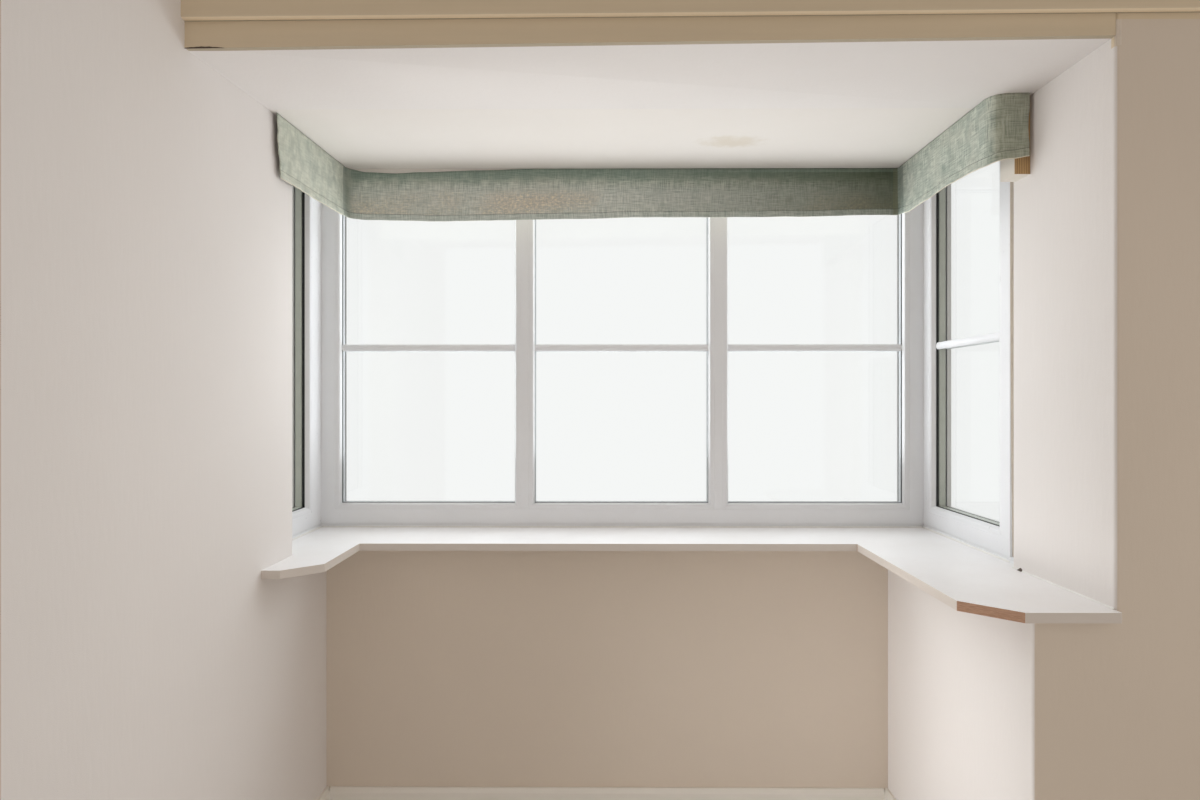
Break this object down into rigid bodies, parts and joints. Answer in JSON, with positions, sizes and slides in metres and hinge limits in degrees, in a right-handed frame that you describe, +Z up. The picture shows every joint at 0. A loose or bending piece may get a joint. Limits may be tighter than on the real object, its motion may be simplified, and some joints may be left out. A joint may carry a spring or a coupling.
{
  "type": "bay window",
  "caption": "Square bay window seen from the room: white frames on dwarf walls, deep window board, plastered opening, fabric pelmet round three sides and a flat roof.",
  "frame": {"origin": "at ground level, below the middle of the front window's room face", "axes": "+X to the right as seen from the room, +Y out of the house, +Z up"},
  "size_m": [2.68, 1.747, 2.45],
  "materials": {
    "plaster": "painted plaster indoors and painted render outdoors, matt",
    "ceiling": "painted plasterboard, matt",
    "white_plastic": "white plastic, satin",
    "white_board": "white laminated board, satin",
    "painted_wood": "painted wood, satin",
    "bare_wood": "bare softwood",
    "roof_timber": "sawn softwood and insulation, closed in",
    "glazing": "clear double glazing",
    "pelmet_cloth": "sage green linen",
    "roof_felt": "dark grey roofing sheet",
    "lead": "dull lead sheet"
  },
  "bodies": {
    "root": {"front_dwarf_wall": "plaster", "left_dwarf_wall": "plaster", "right_dwarf_wall": "plaster", "left_house_wall": "plaster", "right_house_wall": "plaster", "left_side_wall": "plaster", "left_cheek_wall": "plaster", "upper_wall": "plaster", "header_band": "plaster", "header_beam": "plaster", "bay_ceiling": "ceiling", "roof_deck": "roof_timber", "roof_covering": "roof_felt", "roof_flashing": "lead", "front_fascia": "white_plastic", "left_fascia": "white_plastic", "right_fascia": "white_plastic", "window_board": "white_board", "front_sill": "white_plastic", "left_sill": "white_plastic", "right_sill": "white_plastic", "left_corner_post": "white_plastic", "right_corner_post": "white_plastic", "right_closing_strip": "white_plastic", "front_head_rail": "white_plastic", "front_bottom_rail": "white_plastic", "front_jambs": "white_plastic", "front_mullions": "white_plastic", "left_rails": "white_plastic", "left_jambs": "white_plastic", "right_rails": "white_plastic", "right_jambs": "white_plastic", "front_left_glass": "glazing", "front_middle_glass": "glazing", "front_right_glass": "glazing", "left_glass": "glazing", "right_glass": "glazing", "front_beads": "white_plastic", "left_beads": "white_plastic", "right_beads": "white_plastic", "front_skirting": "painted_wood", "left_skirting": "painted_wood", "right_skirting": "painted_wood", "pelmet": "pelmet_cloth", "pelmet_battens": "bare_wood", "pelmet_block": "bare_wood"}
  },
  "joints": []
}
